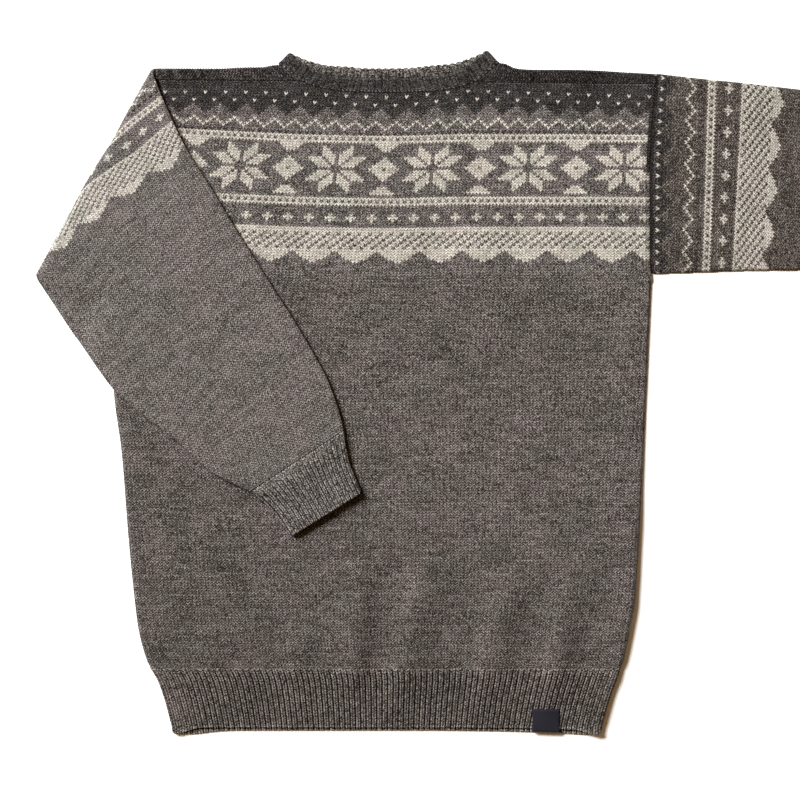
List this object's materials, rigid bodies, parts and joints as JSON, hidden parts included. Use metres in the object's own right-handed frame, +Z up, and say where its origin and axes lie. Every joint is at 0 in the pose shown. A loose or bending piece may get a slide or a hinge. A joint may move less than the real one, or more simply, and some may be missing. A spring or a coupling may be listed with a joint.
{
  "type": "knitted pullover sweater laid flat with one sleeve folded over its front",
  "caption": "Crew-neck knitted sweater lying flat, with a patterned yoke, ribbed hem, cuffs and neckband, and its left sleeve folded across the front.",
  "frame": {"origin": "on the surface that the sweater lies on, under the middle of its body", "axes": "+X along the straight sleeve, from the folded sleeve's side to the other; +Y from the hem up to the neck; +Z up, out of the front"},
  "size_m": [1.1232, 0.699, 0.0114],
  "materials": {
    "heather_knit": "matt heathered wool stockinette",
    "sleeve_knit": "matt heathered wool stockinette",
    "rib_knit": "matt heathered wool rib",
    "charcoal_knit": "matt charcoal wool knit",
    "neck_rib": "matt charcoal wool rib",
    "woven_label": "smooth tightly woven ribbon, bare"
  },
  "bodies": {
    "root": {"body_front": "heather_knit", "body_back": "heather_knit", "hem_rib": "rib_knit", "shoulder_strap_left": "charcoal_knit", "shoulder_strap_right": "charcoal_knit", "neckband": "neck_rib", "sleeve_right": "sleeve_knit", "sleeve_left": "sleeve_knit", "cuff_right": "rib_knit", "cuff_left": "rib_knit", "hem_label": "woven_label"}
  },
  "joints": []
}
